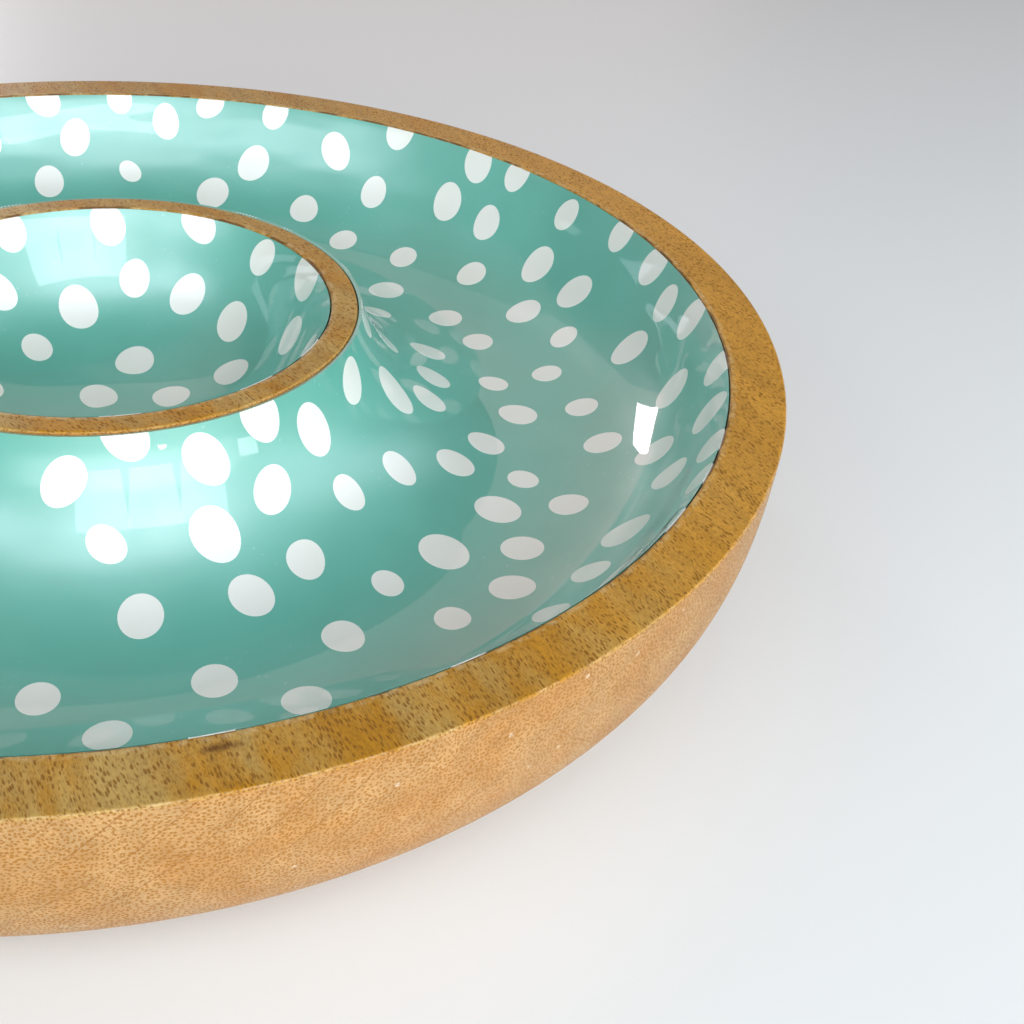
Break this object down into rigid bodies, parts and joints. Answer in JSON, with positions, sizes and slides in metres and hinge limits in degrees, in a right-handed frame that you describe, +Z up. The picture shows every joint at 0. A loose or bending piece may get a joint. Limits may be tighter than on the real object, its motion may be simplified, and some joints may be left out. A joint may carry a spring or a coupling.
{
  "type": "chip and dip server",
  "caption": "Round turned-wood serving bowl: an enamelled ring-shaped chip well around a raised central dip cup, with bare wooden rims and a flat base.",
  "frame": {"origin": "centre of the flat base", "axes": "+Z up along the turning axis; -Y towards the front, where the wood's grain runs nearly front to back"},
  "size_m": [0.305, 0.305, 0.0536],
  "materials": {
    "bowl_wood": "smooth turned mango wood under a thin clear lacquer, pores open on the side",
    "cup_wood": "smooth turned mango wood under a thin clear lacquer",
    "enamel": "high-gloss teal resin enamel, slightly wavy",
    "white_spots": "off-white enamel spots under the same gloss as the teal"
  },
  "bodies": {
    "root": {"wood_bowl": "bowl_wood", "dip_cup": "cup_wood", "well_enamel": "enamel", "cup_enamel": "enamel"}
  },
  "joints": []
}
